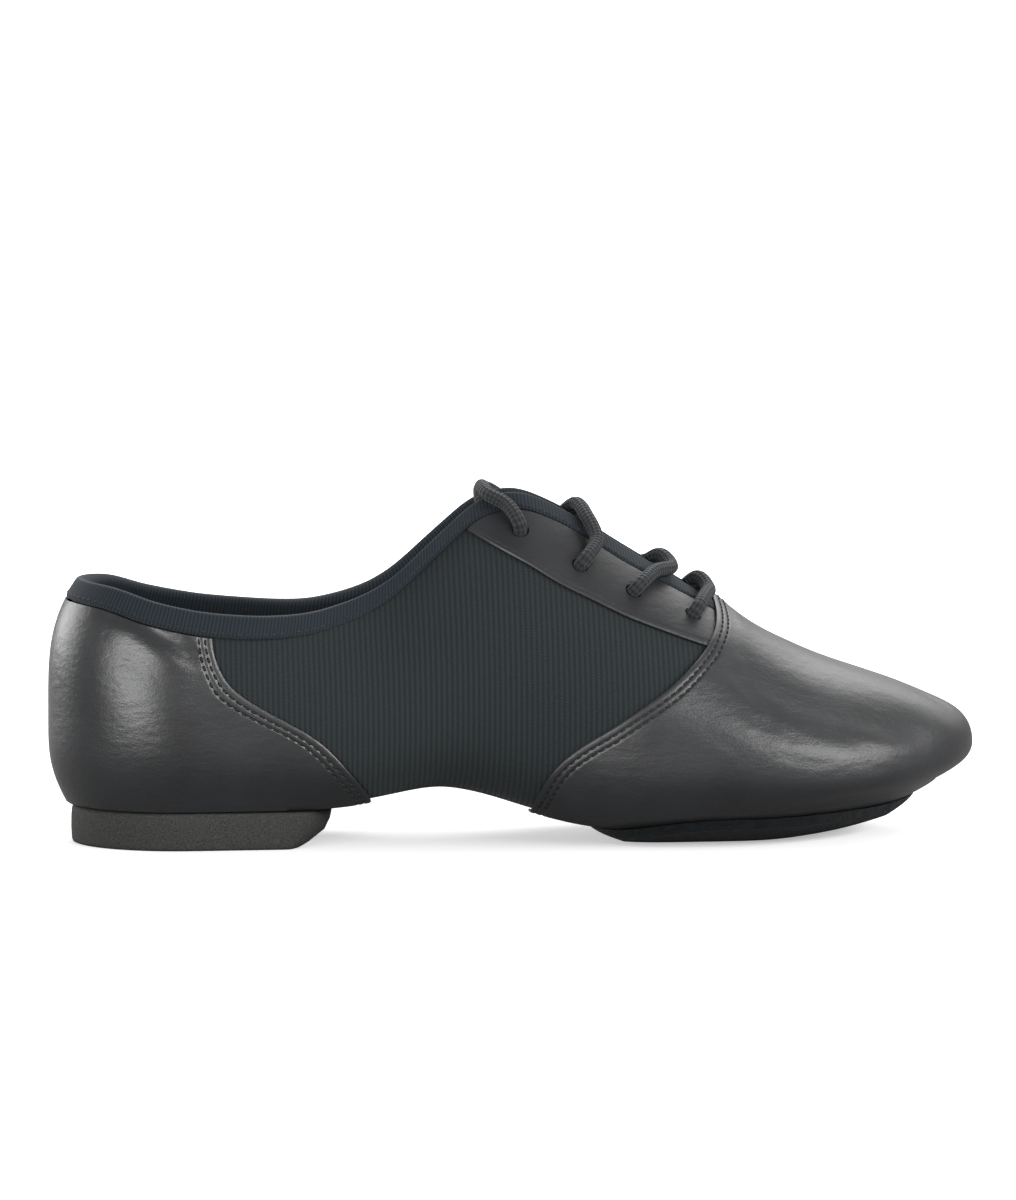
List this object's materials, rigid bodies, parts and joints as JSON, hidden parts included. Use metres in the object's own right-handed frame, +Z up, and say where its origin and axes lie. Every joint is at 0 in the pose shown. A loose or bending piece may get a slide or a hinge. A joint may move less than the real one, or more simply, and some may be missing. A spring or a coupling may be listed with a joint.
{
  "type": "jazz shoe",
  "caption": "Low lace-up jazz shoe for the right foot: leather toe and heel pieces, ribbed stretch sides, bound collar, suede forefoot patch and low rubber heel.",
  "frame": {"origin": "middle of the shoe's box in plan, on the floor it stands on", "axes": "+X towards the toe along the shoe's length, +Y towards the wearer's inner side, +Z up"},
  "size_m": [0.25, 0.0858, 0.0973],
  "materials": {
    "vamp": "smooth grain leather, satin",
    "counter": "smooth grain leather, satin",
    "eyestay": "smooth grain leather, satin",
    "stretch": "ribbed elastic, matt",
    "tape": "grosgrain tape, matt",
    "tongue": "soft leather, matt",
    "insole": "brushed lining cloth, matt",
    "sole": "suede, nap side out",
    "rubber": "speckled rubber, matt",
    "lace": "round braided cord, matt"
  },
  "bodies": {
    "root": {"upper": "stretch", "vamp": "vamp", "counter": "counter", "eyestay_lateral": "eyestay", "eyestay_medial": "eyestay", "binding": "tape", "tongue": "tongue", "insole": "insole", "forefoot_sole": "sole", "heel": "rubber", "lace_crossing_1": "lace", "lace_crossing_2": "lace", "lace_crossing_3": "lace", "lace_crossing_4": "lace"}
  },
  "joints": []
}
